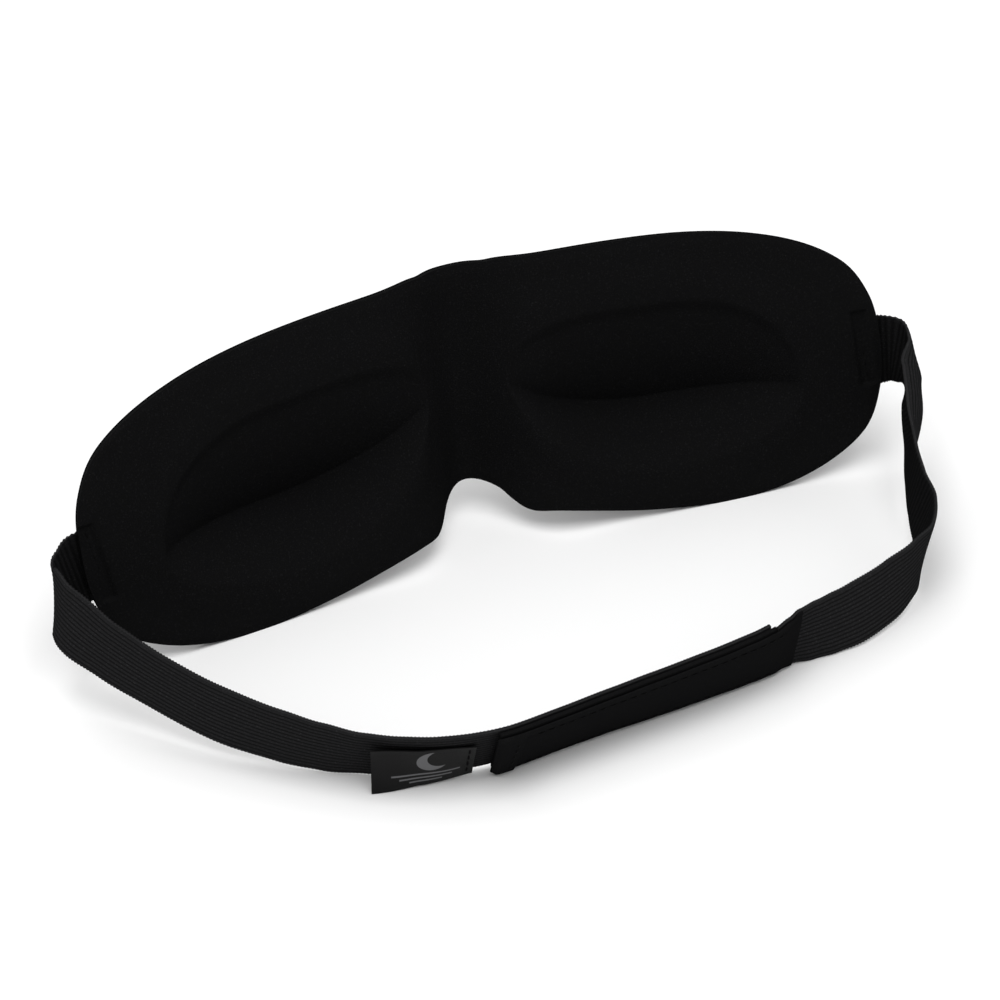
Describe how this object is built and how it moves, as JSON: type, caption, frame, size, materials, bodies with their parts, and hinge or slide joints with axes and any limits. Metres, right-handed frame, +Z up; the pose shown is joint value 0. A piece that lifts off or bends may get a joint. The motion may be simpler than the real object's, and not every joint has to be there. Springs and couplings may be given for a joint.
{
  "type": "sleep eye mask",
  "caption": "Contoured sleep mask of moulded foam with domed eye cups and a nose notch, on an adjustable elastic head strap closed by hook-and-loop tape.",
  "frame": {"origin": "on the floor the mask stands on, under the middle of the whole object's box", "axes": "+X along the mask from the left tip to the right tip as seen from the strap loop, +Y away from the wearer, out of the mask's front cover, +Z up"},
  "size_m": [0.245, 0.124, 0.0752],
  "materials": {
    "lining": "soft brushed knit",
    "foam": "open-cell foam, matt",
    "cover": "smooth knit",
    "elastic": "ribbed woven elastic",
    "tape": "woven hook-and-loop tape",
    "satin": "woven satin",
    "thread": "polyester sewing thread"
  },
  "bodies": {
    "mask": {"face_lining": "lining", "foam_core": "foam", "front_cover": "cover", "strap_end_left": "elastic", "strap_end_right": "elastic", "tack_left_front": "thread", "tack_left_back": "thread", "tack_right_front": "thread", "tack_right_back": "thread"},
    "left_strap": {"strap_left": "elastic", "loop_tape": "tape", "loop_stitch": "thread"},
    "label": {"care_label": "satin", "label_stitch": "thread"},
    "right_strap": {"strap_right": "elastic"},
    "closure": {"strap_at_closure": "elastic", "hook_tape": "tape", "hook_stitch_upper": "thread", "hook_stitch_lower": "thread", "hook_stitch_seam": "thread", "hook_stitch_tip": "thread"}
  },
  "joints": [
    {"name": "left_strap_swing", "type": "hinge", "parent": "mask", "child": "left_strap", "pos_m": [-0.11485, 0.03023, 0.0284], "axis": [0, 0, 1], "range_deg": [0, 15]},
    {"name": "right_strap_swing", "type": "hinge", "parent": "mask", "child": "right_strap", "pos_m": [0.11995, 0.02973, 0.0309], "axis": [0, 0, 1], "range_deg": [0, 40]},
    {"name": "closure_peel", "type": "hinge", "parent": "right_strap", "child": "closure", "pos_m": [0.06005, -0.04427, 0.0097], "axis": [0, 0, 1], "range_deg": [0, 60]},
    {"name": "label_flap", "type": "hinge", "parent": "left_strap", "child": "label", "pos_m": [-0.03902, -0.0537, 0.008], "axis": [0, 0, 1], "range_deg": [0, 30]}
  ]
}
